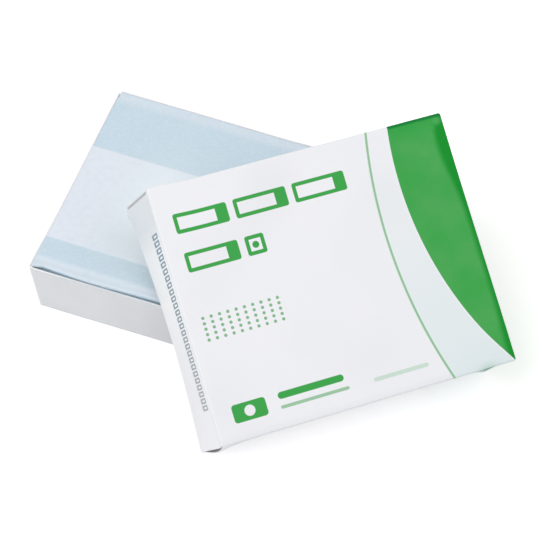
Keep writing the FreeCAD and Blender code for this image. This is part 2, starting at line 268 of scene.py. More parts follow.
class Carton:
    """One sheet of board folded into an open box with its panel on top.

    Its subclasses say how the sheet differs from a plain box. `drop` is a share of the way down
    from a wall's fold to its rim, and `share` one of the way along it, from the left or the front.
    """

    def __init__(self, length, width, depth):
        self.length, self.width, self.depth = length, width, depth
        self.xs, self.ys = (stations(FOLD, size - FOLD, NEAR_FOLD, INNER, round(size / SPACING))
                            for size in (length, width))
        height = depth - FOLD
        near = [level / height for level in (0, TAB_START / 2, TAB_START, 1.4, 2.2)]
        drops = near + steps(near[-1], 1, round(height / SPACING))[1:]
        self.levels = [(drop, height * (1 - drop)) for drop in drops]

    def spread(self, wall, share, drop):
        """How far a wall stands outside the panel's outline."""
        return 0.0

    def ends(self, back, drop):
        """How far a short wall's cut end stands outside its place at the fold."""
        return 0.0

    def slack(self, right, back, drop):
        """How far a tab stands off inside its short wall."""
        return 0.0

    def tab_shading(self, back):
        """How much painted shade a tab gets, standing for the dark gap behind its short wall."""
        return 0.0

    def warp(self, x, y):
        """How far the panel stands above its level."""
        return 0.0

    def spring(self, x, y):
        """How far the sheet is drawn aside along X and along Y."""
        return 0.0, 0.0

    def build(self, sheet):
        """Adds the whole carton's outer face to the sheet."""
        panel = [[self.at(x, y, self.depth + self.warp(x, y)) for x in self.xs] for y in self.ys]
        sheet.patch(panel)
        for right in (False, True):
            sheet.patch(self.short_wall(right), flip=right)
        for back in (False, True):
            sheet.patch(self.long_wall(back), flip=not back)
            for right in (False, True):
                sheet.patch(self.tip(right, back), flip=right != back)
                sheet.patch(self.tab(right, back), flip=right != back)

    def at(self, x, y, z, right=False, back=False, printed=None, bare=0.0):
        """A point and its place on the print, mirrored to the right or the back if asked.

        The latter is a place on the panel or its outline, and a depth below the panel. A depth
        below 0 marks a tab's painted shade there.
        """
        flat_x, flat_y = printed or (x, y)
        if right:
            x, flat_x = self.length - x, self.length - flat_x
        if back:
            y, flat_y = self.width - y, self.width - flat_y
        flat_x, flat_y = min(max(flat_x, 0), self.length), min(max(flat_y, 0), self.width)
        along_x, along_y = self.spring(x, y)
        return (x + along_x, y + along_y, z), (flat_x, flat_y, -bare if bare else self.depth - z)

    def arc(self):
        """The steps round a fold from the panel to a wall: how far out and down, share of warp."""
        for angle in steps(0, math.pi / 2, ARC_STEPS):
            yield FOLD * math.sin(angle), FOLD * (1 - math.cos(angle)), math.cos(angle)

    def short_wall(self, right):
        """The fold and the wall at one end of the box; the wall's ends are cut."""
        wall = "right" if right else "left"
        edge = self.length - FOLD if right else FOLD
        rows = []
        for out, down, share in self.arc():
            levels = [self.depth - down + share * self.warp(edge, y) for y in self.ys]
            rows.append([self.at(FOLD - out, y, z, right) for y, z in zip(self.ys, levels)])
        for drop, level in self.levels[1:]:
            row = []
            for y in self.ys:
                share = (y - FOLD) / (self.width - 2 * FOLD)
                moved = y + mix(-self.ends(False, drop), self.ends(True, drop), share)
                out = self.spread(wall, share, drop)
                row.append(self.at(-out, moved, level, right, printed=(0, y)))
            rows.append(row)
        return rows

    def inset(self, right, back, drop):
        """How far inside a short wall's outer face the flat part of a long wall ends."""
        full = BOARD + GLUE + self.slack(right, back, drop) + CORNER
        return mix(FOLD, full, smooth(drop * (self.depth - FOLD) / TAB_START))

    def long_wall(self, back):
        """The fold and the wall along one side of the box."""
        wall, side = ("back", 1) if back else ("front", 0)
        edge = self.width - FOLD if back else FOLD
        rows = []
        for out, down, share in self.arc():
            levels = [self.depth - down + share * self.warp(x, edge) for x in self.xs]
            rows.append([self.at(x, FOLD - out, z, back=back) for x, z in zip(self.xs, levels)])
        for drop, level in self.levels[1:]:
            start = self.inset(False, back, drop) - self.spread("left", side, drop)
            finish = self.length - self.inset(True, back, drop) + self.spread("right", side, drop)
            row = []
            for x in self.xs:
                share = (x - FOLD) / (self.length - 2 * FOLD)
                out = self.spread(wall, share, drop)
                moved = mix(start, finish, share)
                row.append(self.at(moved, -out, level, back=back, printed=(x, 0)))
            rows.append(row)
        return rows

    def tab(self, right, back):
        """The tab that a long wall ends in: an upright fold, then a strip behind the short wall."""
        wall, side = "right" if right else "left", int(back)
        long_wall, end = "back" if back else "front", int(right)
        # how much painted shade this tab gets
        bare = self.tab_shading(back)
        rows = []
        for drop, level in self.levels[2:]:
            middle = CORNER - self.spread(long_wall, end, drop)
            inside = BOARD + GLUE + self.slack(right, back, drop)
            face = inside - self.spread(wall, side, drop)
            row = []
            for angle in steps(0, math.pi / 2, ARC_STEPS):
                x = face + CORNER * (1 - math.sin(angle))
                y = middle - CORNER * math.cos(angle)
                shaded_part = bare * smooth(2 * (angle - 0.8))  # from halfway round the fold on
                row.append(self.at(x, y, level, right, back, (0, 0), shaded_part))
            for reach in steps(0, 1, TAB_STEPS)[1:]:
                y = middle + reach * (TAB - CORNER)
                share = 1 - y / self.width if back else y / self.width
                behind = mix(inside, BOARD + GLUE, smooth(reach * 1.5))  # glued flat from 2/3 on
                x = behind - self.spread(wall, share, drop)
                trimmed = max(level, TAB_END * smooth(reach * 6))  # cut off level from 1/6 on
                row.append(self.at(x, y, trimmed, right, back, (0, 0), bare))
            rows.append(row)
        return rows

    def tip(self, right, back):
        """The rounded tip between two folds: a four-sided patch bulged onto a ball."""
        centre = Vector((FOLD, FOLD, self.depth - FOLD))
        edge_x = self.length - FOLD if right else FOLD
        edge_y = self.width - FOLD if back else FOLD
        lift = self.warp(edge_x, edge_y)
        up, left, front = Vector((0, 0, 1)), Vector((-1, 0, 0)), Vector((0, -1, 0))
        between = (left + front).normalized()

        def on_ball(one, two):
            a, b = one * math.pi / 2, two * math.pi / 2
            up_left = up * math.cos(a) + left * math.sin(a)
            up_front = up * math.cos(b) + front * math.sin(b)
            front_on = front * math.cos(a / 2) + left * math.sin(a / 2)
            left_on = left * math.cos(b / 2) + front * math.sin(b / 2)
            flat = mix(mix(up, left, one), mix(front, between, one), two)
            bulged = mix(up_left, front_on, two) + mix(up_front, left_on, one) - flat
            return bulged.normalized() * FOLD

        rows = []
        for two in steps(0, 1, ARC_STEPS):
            row = []
            for one in steps(0, 1, ARC_STEPS):
                place = centre + on_ball(one, two)
                height = (place.z - centre.z) / FOLD
                row.append(self.at(place.x, place.y, place.z + lift * height, right, back))
            rows.append(row)
        return rows


class Lid(Carton):
    """The printed lid: its left wall flares and bows, and its corners have sprung a little."""

    def spread(self, wall, share, drop):
        if wall == "left":
            further, start, reach = LID_FLARE_CORNER
            flare = mix(*LID_FLARE, share) + further * smooth((share - start) / reach)
            hollow = LID_BOW_LEFT + sum(LID_FLARE) / 2
            return (flare - hollow * arch(share)) * drop
        out = -LID_BOW * arch(share) * drop
        if wall == "front":
            from_left, from_right = share * self.length, (1 - share) * self.length
            out += LID_GAPE * math.sin(math.pi * drop) * math.exp(-from_left / LID_GAPE_REACH)
            out += hump(from_right, *LID_BUCKLE) * hump(drop, *LID_BUCKLE_DROP)
        return out

    def ends(self, back, drop):
        if back:
            return -LID_END_BACK * smooth(drop * 24)  # in full from 1/24 down
        return mix(*LID_END_FRONT, drop) * smooth(drop * 16)  # from 1/16

    def slack(self, right, back, drop):
        if right:
            return 0.0
        return LID_SLACK[1] if back else LID_SLACK[0] * math.sin(math.pi * drop)

    def tab_shading(self, back):
        # painted shade: full on the front tabs, half on the back ones
        return 0.5 if back else 1.0

    def spring(self, x, y):
        most, reach_x, reach_y = LID_SPLAY
        splay = most * fade(self.length - x, reach_x) * fade(y, reach_y)
        most, reach_x, reach_y = LID_STRETCH
        return splay, most * fade(x, reach_x) * fade(self.width - y, reach_y)

    def warp(self, x, y):
        height, size = LID_WAVE
        wave = height * noise.noise(Vector((x / size, y / size, 3.0)))
        reach = LID_ROLL_REACH + hump(self.width - y, *LID_ROLL_BACK) + hump(y, *LID_ROLL_FRONT)
        return wave - LID_ROLL * fade(self.length - x, reach)


class Tray(Carton):
    """The tray, panel on top as a carton is here: its walls lean out."""

    def spread(self, wall, share, drop):
        out = TRAY_LEAN * drop
        if wall == "front":  # the back wall once the tray is the right way up
            out += back_bow(share) * drop
        return out

    def ends(self, back, drop):
        past = (drop - TRAY_NOTCH_START) / (1 - TRAY_NOTCH_START)
        return TRAY_LEAN * drop - TRAY_NOTCH * smooth(past)

    def spring(self, x, y):
        near = fade(self.width - y, TRAY_STRETCH_Y)
        left, front = (most * near * fade(x, reach)
                       for most, reach in zip(TRAY_STRETCH, TRAY_STRETCH_X))
        return -left, front


# ---- materials

class Nodes:
    """A material whose nodes are made by short calls."""

    def __init__(self, name, roughness, specular=0.5):
        self.material = bpy.data.materials.new(name)
        self.material.use_nodes = True
        self.tree = self.material.node_tree
        self.shader = self.tree.nodes["Principled BSDF"]
        self.shader.inputs["Roughness"].default_value = roughness
        self.shader.inputs["Specular IOR Level"].default_value = specular

    def node(self, kind, inputs=(), **settings):
        """A node of that kind, with its settings, and its inputs linked or set in order."""
        made = self.tree.nodes.new("ShaderNode" + kind)
        for key, value in settings.items():
            setattr(made, key, value)
        for key, value in (inputs.items() if isinstance(inputs, dict) else enumerate(inputs)):
            self.feed(made.inputs[key], value)
        return made

    def feed(self, socket, value):
        """Links a socket to another, or sets it."""
        if isinstance(value, bpy.types.NodeSocket):
            self.tree.links.new(value, socket)
        else:
            socket.default_value = value

    def calc(self, operation, *values):
        """One Math node's result."""
        return self.node("Math", values, operation=operation).outputs[0]

    def product(self, *values):
        """All the values multiplied."""
        result = values[0]
        for value in values[1:]:
            result = self.calc("MULTIPLY", result, value)
        return result

    def ramp(self, value, low, high):
        """0 where the value is below low, 1 above high, even in between; low may be above high."""
        return self.node("MapRange", (value, low, high, 0.0, 1.0), clamp=True).outputs[0]

    def bell(self, value, middle, width):
        """A bell of height 1 round `middle`."""
        off = self.calc("DIVIDE", self.calc("SUBTRACT", value, middle), width)
        return self.calc("EXPONENT", self.calc("MULTIPLY", self.product(off, off), -1.0))

    def blend(self, share, low, high):
        """A colour mixed from two."""
        made = self.node("Mix", {"Factor": share, "A": low, "B": high}, data_type="RGBA")
        return made.outputs["Result"]

    def start(self, share, low, high):
        """Starts from a mix of two colours, given as seen."""
        self.colour = self.blend(share, linear(low), linear(high))

    def paint(self, colour, *shares):
        """Puts a colour, given as seen, over the rest, as far as the product of the shares."""
        self.colour = self.blend(self.product(*shares), self.colour, linear(colour))

    def printed(self):
        """A point's place on the print, whole and as its three parts."""
        place = self.node("Attribute", attribute_name="print").outputs["Vector"]
        return place, self.node("SeparateXYZ", (place,)).outputs

    def noise(self, place, scale, detail=2.0):
        """Soft noise, mostly between 0.3 and 0.7."""
        return self.node("TexNoise", {"Vector": place, "Scale": scale, "Detail": detail}).outputs[0]

    def bump(self, height, distance):
        """Bumps of that height, in millimetres, on the shader's surface."""
        made = self.node("Bump", {"Height": height, "Distance": distance * MM})
        self.feed(self.shader.inputs["Normal"], made.outputs[0])

    def done(self):
        """The material, with the colour painted so far."""
        self.feed(self.shader.inputs["Base Color"], self.colour)
        return self.material

    def distance(self, x, y):
        """The length of a step of x and y."""
        return self.calc("SQRT", self.calc("ADD", self.product(x, x), self.product(y, y)))

    def off_circle(self, x, y, centre_x, centre_y, radius):
        """How far outside a circle of the print a point lies."""
        across, up = self.calc("SUBTRACT", x, centre_x), self.calc("SUBTRACT", y, centre_y)
        return self.calc("SUBTRACT", self.distance(across, up), radius)

    def off_box(self, x, y, left, right, low, high, radius):
        """How far outside a box with rounded corners a point lies, less than 0 inside it."""
        over = []
        for value, start, end in ((x, left, right), (y, low, high)):
            off_middle = self.calc("ABSOLUTE", self.calc("SUBTRACT", value, (start + end) / 2))
            over.append(self.calc("SUBTRACT", off_middle, (end - start) / 2 - radius))
        outer = self.distance(*(self.calc("MAXIMUM", value, 0.0) for value in over))
        inner = self.calc("MINIMUM", self.calc("MAXIMUM", *over), 0.0)
        return self.calc("SUBTRACT", self.calc("ADD", outer, inner), radius)

    def inside(self, distance):
        """1 where a distance is below 0, with a soft printed edge."""
        return self.ramp(distance, SOFT, -SOFT)

    def outline(self, distance, stroke):
        """1 on a line of that width just inside where a distance is 0."""
        off_line = self.calc("ABSOLUTE", self.calc("ADD", distance, stroke / 2))
        return self.inside(self.calc("SUBTRACT", off_line, stroke / 2))

    def between(self, value, low, high):
        """1 between two values, with soft printed edges."""
        return self.product(self.ramp(value, low - SOFT, low + SOFT),
                            self.ramp(value, high + SOFT, high - SOFT))


# Painted light and shade on the lid's white, in millimetres on the print.
FOLD_BAND = (0.06, 0.65)  # depths between which painted shade lies on the left fold, offsetting its highlight
FRONT_BORDER = 1.5  # width of the panel's shaded front border
LIGHT_PATCH = (47.0, 12.0)  # middle and width along Y of the painted light on the left wall
BACK_SHADE = (56.0, 63.0)  # where along Y the left wall's shade sets in, and where it is full
ON_END = 0.01  # X up to which a point of the print is on the left wall


def paint_white_light_and_shade(nodes, x, y, depth):
    """Painted light and shade on the white: shade on its left fold and along the panel's front
    border, light and shade on the left wall.
    """
    start, end = FOLD_BAND
    on_fold = nodes.product(nodes.ramp(depth, start - 0.04, start + 0.04),
                            nodes.ramp(depth, end + 0.25, end - 0.25))
    nodes.paint(FOLD_SHADE_WHITE, on_fold, nodes.ramp(x, 0.7, 0.4))
    border = nodes.ramp(y, FRONT_BORDER + 0.9, FRONT_BORDER - 0.9)
    nodes.paint(WALL_SHADE, nodes.ramp(depth, 0.3, 0.1), border, 0.35)
    on_wall = nodes.product(nodes.calc("LESS_THAN", x, ON_END), nodes.ramp(depth, 0.4, 0.9))
    nodes.paint(WALL_LIGHT, on_wall, nodes.bell(y, *LIGHT_PATCH), 0.7)
    nodes.paint(WALL_SHADE, on_wall, nodes.ramp(y, *BACK_SHADE))


def paint_tab_shade(nodes, depth):
    """Painted shade on the tabs, standing for the dark gap behind the short wall; the print marks
    it with a depth below 0.
    """
    nodes.paint(TAB_SHADE, nodes.ramp(depth, 0.0, -0.9))


def board_surface(nodes, place):
    """The board's faint unevenness: fine fibres over soft clouds."""
    fine = nodes.product(nodes.noise(place, scale=2.6, detail=3.0), 0.25)
    clouds = nodes.noise(place, scale=0.22, detail=1.0)
    nodes.bump(nodes.calc("ADD", fine, clouds), distance=0.02)


def inside_of_board():
    """The uncoated side: greyish, matt, with flecks of recycled fibre."""
    nodes = Nodes("board_inside", roughness=0.85, specular=0.3)
    in_metres = nodes.node("TexCoord").outputs["Object"]
    flecks = nodes.noise(in_metres, scale=2600.0, detail=3.0)
    nodes.start(nodes.ramp(flecks, 0.35, 0.7), INSIDE, INSIDE_FLECK)
    nodes.bump(flecks, distance=0.02)
    return nodes.done()


def cut_edge_of_board(name, shade_from):
    """The cut edge: layers of fibre, with painted shade from that place on the print backwards."""
    nodes = Nodes(name, roughness=0.9, specular=0.2)
    in_metres = nodes.node("TexCoord").outputs["Object"]
    layers = nodes.noise(in_metres, scale=4200.0, detail=2.0)
    nodes.start(nodes.ramp(layers, 0.3, 0.75), CUT_EDGE, CUT_LAYER)
    _, (x, y, _) = nodes.printed()
    nodes.paint(EDGE_SHADE, nodes.ramp(y, shade_from - 1, shade_from + 1), nodes.ramp(x, 4.0, 12.0))
    return nodes.done()


def tray_outside():
    """The coated side of the tray's board, with no print."""
    nodes = Nodes("tray_outside", roughness=0.42)
    place, (_, _, depth) = nodes.printed()
    nodes.start(nodes.ramp(nodes.noise(place, scale=0.09), 0.3, 0.7), TRAY_WHITE, TRAY_CLOUD)
    paint_tab_shade(nodes, depth)
    board_surface(nodes, place)
    return nodes.done()


# The lid's print, in millimetres from the panel's front left corner.
FIELD = (166.7, 55.4, 98.7)  # centre and radius of the green field's curved border
THIN_LINE = (196.9, 43.6, 137.1)  # centre and outer radius of the thin line
KEYLINE = 0.35  # width of the bare line round the field
LINE = 0.65  # width of the thin line
GREEN_SHADE_WIDTH = 0.9  # width of the painted shade, a deeper green, along the right fold
GREEN_SHADE_BACK = (9.0, 13.0, 2.4)  # its bulge near the back: middle from the back, length, height
GREEN_SHADE_FRONT = (4.0, 9.0, 0.6)  # and, likewise, near the front
WORN_CORNER = (1.6, 1.9, 1.0)  # the worn spot: its middle from the right and the back, its radius
SLIDE_PICTURE = (15.0, 5.4)  # size of a slide drawn on the panel
SLIDE_LABEL = 3.35  # length of its label end
SLIDE_STROKE = 1.05
SLIDE_CORNER = 0.7  # radius of its corners
SLIDE_PLACES = [(4.8, 57.5), (21.7, 57.5), (38.6, 57.5), (4.9, 46.9)]  # their lower left corners
COVER_PLACE = (21.9, 46.9)  # a cover glass, drawn after them
SPECIMEN = 0.95  # radius of the round specimen under it
DOTS = (5.0, 28.3, 2.35, 1.5)  # left, bottom and pitches of ten by five dots, one for each slide
DOT = 0.45  # radius of a dot
BADGE = (5.5, 15.0, 4.9, 9.9)  # left, right, bottom, top
BADGE_CORNER = 0.9  # radius of its corners
BADGE_HOLE = 1.5  # radius of the bare disc in it
BARS = [  # left, right, bottom, top and colour of the small bars
    (18.6, 37.4, 7.9, 9.8, GREEN),
    (18.6, 38.2, 5.3, 6.2, BAR_GREEN),
    (45.3, 61.3, 5.2, 6.3, FAINT_GREEN),
]
MARKS = (26, 11.0, 1.91)  # the left wall's row: number of marks, where along Y it starts, pitch
MARK = (2.6, 10.2)  # depths between which a mark stands
MARK_WIDTH, MARK_CORNER, MARK_STROKE = 1.48, 0.3, 0.45
MARK_ENDS = (1.55, 2.15)  # length of a mark's solid ends, upper and lower


def paint_fields(nodes, place, x, y, length, width):
    """The tint, the thin line and the green field with the bare line round it."""
    from_line = nodes.off_circle(x, y, *THIN_LINE)
    from_field = nodes.off_circle(x, y, *FIELD)
    nodes.paint(TINT, nodes.inside(from_line), nodes.ramp(y, width, 0.0))
    nodes.paint(LINE_GREEN, nodes.outline(from_line, LINE))
    nodes.paint(WHITE, nodes.inside(nodes.calc("SUBTRACT", from_field, KEYLINE)))
    in_field = nodes.inside(from_field)
    nodes.paint(GREEN, in_field)
    cloudy = nodes.ramp(nodes.noise(place, scale=0.12, detail=3.0), 0.35, 0.75)
    nodes.paint(PALE_FIELD_GREEN, in_field, cloudy, 0.5)
    nodes.paint(BACK_FIELD_GREEN, in_field, nodes.ramp(y, width - 6.0, width - 1.5), 0.6)
    paint_green_shade_and_wear(nodes, x, y, in_field, length, width)


def paint_green_shade_and_wear(nodes, x, y, in_field, length, width):
    """The green, with painted shade where the board curves over at the right and back, worn at the
    corner.
    """
    from_back, reach, height = GREEN_SHADE_BACK
    short_of_back = nodes.ramp(y, width - 0.8, width - 4.5)
    back_band = nodes.product(nodes.bell(y, width - from_back, reach), short_of_back, height)
    from_front, reach, height = GREEN_SHADE_FRONT
    front_band = nodes.product(nodes.bell(y, from_front, reach), height)
    both = nodes.calc("ADD", x, nodes.calc("ADD", back_band, front_band))
    inward = nodes.calc("ADD", both, GREEN_SHADE_WIDTH - length)
    # painted shade along the right fold
    nodes.paint(SHADED_GREEN, in_field, nodes.ramp(inward, -1.1, 0.5))
    from_right, from_back, radius = WORN_CORNER
    off_spot = nodes.off_circle(x, y, length - from_right, width - from_back, radius)
    nodes.paint(WORN_GREEN, in_field, nodes.ramp(off_spot, 0.6, -0.6), 0.6)
    # painted shade along the back fold
    nodes.paint(BACK_FOLD_SHADE, in_field, nodes.ramp(y, width - 1.2, width - 0.6))


def paint_dent_shade(nodes, x, y, depth, length):
    """Painted shade round the buckle at the front fold: a soft tint on the panel and a darker patch
    under the fold.
    """
    middle = length - LID_BUCKLE[0]
    near_fold = nodes.product(nodes.ramp(y, 2.2, 0.4), nodes.ramp(depth, 2.4, 0.8))
    nodes.paint(DENT_SHADE_SOFT, nodes.bell(x, middle, 2.6), near_fold, 0.8)
    under_fold = nodes.product(nodes.ramp(depth, 0.1, 0.3), nodes.ramp(depth, 2.0, 0.9))
    at_front = nodes.calc("LESS_THAN", y, 0.7)
    nodes.paint(DENT_SHADE_DEEP, nodes.bell(x, middle, 2.0), under_fold, at_front)


def paint_slides(nodes, x, y, on_panel):
    """Slides in outline, each with a solid label end, and a cover glass with a round specimen."""
    length, height = SLIDE_PICTURE
    for left, low in SLIDE_PLACES:
        shape = nodes.off_box(x, y, left, left + length, low, low + height, SLIDE_CORNER)
        start = left + length - SLIDE_LABEL
        in_label = nodes.ramp(x, start - SOFT, start + SOFT)
        label = nodes.product(nodes.inside(shape), in_label)
        mask = nodes.calc("MAXIMUM", nodes.outline(shape, SLIDE_STROKE), label)
        nodes.paint(GREEN, mask, on_panel)
    left, low = COVER_PLACE
    shape = nodes.off_box(x, y, left, left + height, low, low + height, SLIDE_CORNER)
    specimen = nodes.inside(nodes.off_circle(x, y, left + height / 2, low + height / 2, SPECIMEN))
    mask = nodes.calc("MAXIMUM", nodes.outline(shape, SLIDE_STROKE), specimen)
    nodes.paint(GREEN, mask, on_panel)


def paint_small_shapes(nodes, x, y, on_panel):
    """Ten by five dots, a badge and the small bars."""
    left, low, pitch_x, pitch_y = DOTS
    local_x = nodes.calc("PINGPONG", nodes.calc("SUBTRACT", x, left - pitch_x / 2), pitch_x / 2)
    local_y = nodes.calc("PINGPONG", nodes.calc("SUBTRACT", y, low - pitch_y / 2), pitch_y / 2)
    dots = nodes.inside(nodes.off_circle(local_x, local_y, pitch_x / 2, pitch_y / 2, DOT))
    margin = DOT + 0.25
    across = nodes.between(x, left - margin, left + 9 * pitch_x + margin)
    along = nodes.between(y, low - margin, low + 4 * pitch_y + margin)
    nodes.paint(PALE_GREEN, dots, across, along, on_panel)

    left, right, low, high = BADGE
    badge = nodes.inside(nodes.off_box(x, y, left, right, low, high, BADGE_CORNER))
    off_hole = nodes.off_circle(x, y, (left + right) / 2, (low + high) / 2, BADGE_HOLE)
    nodes.paint(GREEN, badge, nodes.ramp(off_hole, -SOFT, SOFT), on_panel)
    for left, right, low, high, colour in BARS:
        bar = nodes.inside(nodes.off_box(x, y, left, right, low, high, (high - low) / 2))
        nodes.paint(colour, bar, on_panel)


def paint_wall_row(nodes, x, y, depth):
    """A row of small upright slides along the left wall, each in outline with two solid ends."""
    count, start, pitch = MARKS
    low, high = MARK
    upper, lower = MARK_ENDS
    left, right = (pitch - MARK_WIDTH) / 2, (pitch + MARK_WIDTH) / 2
    local = nodes.calc("PINGPONG", nodes.calc("SUBTRACT", y, start), pitch / 2)
    shape = nodes.off_box(local, depth, left, right, low, high, MARK_CORNER)
    at_foot = nodes.ramp(depth, high - lower - SOFT, high - lower + SOFT)
    at_top = nodes.ramp(depth, low + upper + SOFT, low + upper - SOFT)
    ends = nodes.product(nodes.inside(shape), nodes.calc("MAXIMUM", at_foot, at_top))
    mask = nodes.calc("MAXIMUM", nodes.outline(shape, MARK_STROKE), ends)
    in_row = nodes.between(y, start, start + count * pitch)
    on_wall = nodes.calc("LESS_THAN", x, ON_END)
    in_marks = nodes.product(mask, in_row, on_wall)
    nodes.paint(SMALL_PRINT, in_marks)
    nodes.paint(SMALL_PRINT_FRONT, in_marks, nodes.ramp(y, 40.0, 14.0))


def lid_outside(length, width):
    """The coated side of the lid's board, with its print."""
    nodes = Nodes("lid_outside", roughness=0.42, specular=0.18)
    place, (x, y, depth) = nodes.printed()
    nodes.start(nodes.ramp(nodes.noise(place, scale=0.06), 0.3, 0.7), WHITE, WHITE_CLOUD)
    paint_white_light_and_shade(nodes, x, y, depth)
    on_panel = nodes.ramp(depth, 1.0, 0.7)
    paint_fields(nodes, place, x, y, length, width)
    paint_dent_shade(nodes, x, y, depth, length)
    paint_slides(nodes, x, y, on_panel)
    paint_small_shapes(nodes, x, y, on_panel)
    paint_wall_row(nodes, x, y, depth)
    paint_tab_shade(nodes, depth)
    board_surface(nodes, place)
    return nodes.done()


def wrap_paper():
    """Thin blue paper: lighter where it lies double or stands off the glass; painted light lifts
    the lid's shadow beside it and lightens the gap down the sides.
    """
    nodes = Nodes("wrap_paper", roughness=0.6, specular=0.35)
    place, (x, y, single) = nodes.printed()
    blotches = nodes.noise(place, scale=1.3, detail=4.0)
    contact = nodes.calc("ADD", nodes.product(nodes.calc("SUBTRACT", blotches, 0.5), 1.2), 0.9)
    nodes.start(nodes.product(single, contact), PAPER_LIGHT, PAPER_BLUE)
    elsewhere = nodes.node("VectorMath", (place, (40.0, 9.0, 0.0))).outputs[0]
    violet = nodes.ramp(nodes.noise(elsewhere, scale=0.5), 0.45, 0.7)
    nodes.paint(PAPER_VIOLET, violet, 0.22)
    # painted light beside the lid, lifting its shadow
    patch = nodes.product(nodes.bell(x, *LIT_PATCH[0]), nodes.bell(y, *LIT_PATCH[1]))
    nodes.paint(PAPER_LIT, patch, nodes.ramp(single, 2.0, 0.0))
    nodes.paint(PAPER_SHADE, nodes.bell(y, CREASE, 0.6), 0.4)
    # painted light down the sides, lightening the shade in the gap by the tray's walls
    nodes.paint(PAPER_GAP_LIGHT, nodes.ramp(single, 1.0, 2.0))
    fine = nodes.product(nodes.noise(place, scale=3.0, detail=3.0), 0.3)
    nodes.bump(nodes.calc("ADD", nodes.noise(place, scale=0.45, detail=3.0), fine), distance=0.04)
    return nodes.done()


# ---- the pieces

def declare(piece, node):
    """Puts a piece in the place of its CAD node."""
    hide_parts(node)
    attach(piece, "root")


def lid_frame():
    """The lid's own frame, as a matrix to the row's frame, and its length, width and depth.

    They are read from the CAD node: its largest flat face is the panel, whose long edges are level.
    """
    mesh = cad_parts["lid"].data
    areas = {}
    for face in mesh.polygons:
        if face.normal.z > 0:
            key = tuple(round(part, 2) for part in face.normal)
            total, normal = areas.get(key, (0.0, Vector()))
            areas[key] = (total + face.area, normal + face.normal * face.area)
    up = max(areas.values(), key=lambda pair: pair[0])[1].normalized()
    along = Vector((0, 0, 1)).cross(up).normalized()
    across = up.cross(along)
    turn = Matrix((along, across, up)).transposed()
    points = [turn.transposed() @ (vertex.co / MM) for vertex in mesh.vertices]
    top = max(point.z for point in points)
    rim = min(point.z for point in points)
    flat = [point for point in points if top - point.z < 0.01]
    low_x, high_x = min(point.x for point in flat), max(point.x for point in flat)
    low_y, high_y = min(point.y for point in flat), max(point.y for point in flat)
    origin = turn @ Vector((low_x - FOLD, low_y - FOLD, rim))
    matrix = Matrix.Translation(origin * MM) @ turn.to_4x4() @ Matrix.Scale(MM, 4)
    return matrix, (high_x - low_x + 2 * FOLD, high_y - low_y + 2 * FOLD, top - rim)


def make_lid(inner):
    """The printed lid."""
    matrix, (length, width, depth) = lid_frame()
    sheet = Sheet()
    Lid(length, width, depth).build(sheet)
    cut = cut_edge_of_board("lid_edge", 2 * width)  # so far back that no shade is painted
    piece = sheet.finish("printed_lid", matrix, [lid_outside(length, width), inner, cut], BOARD)
    declare(piece, "lid")


def make_tray(inner):
    """The shallow tray."""
    low, high = (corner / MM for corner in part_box("tray"))
    length, width = high.x - low.x - 2 * TRAY_LEAN, high.y - low.y - 2 * TRAY_LEAN
    origin = Vector((low.x + TRAY_LEAN, high.y - TRAY_LEAN, high.z))
    turn = Matrix.Rotation(math.pi, 4, "X")
    matrix = Matrix.Translation(origin * MM) @ turn @ Matrix.Scale(MM, 4)
    sheet = Sheet()
    Tray(length, width, high.z - low.z).build(sheet)
    # painted shade on the rim of the tray's front wall
    cut = cut_edge_of_board("tray_edge", width - 0.5)
    piece = sheet.finish("shallow_tray", matrix, [tray_outside(), inner, cut], BOARD)
    declare(piece, "tray")


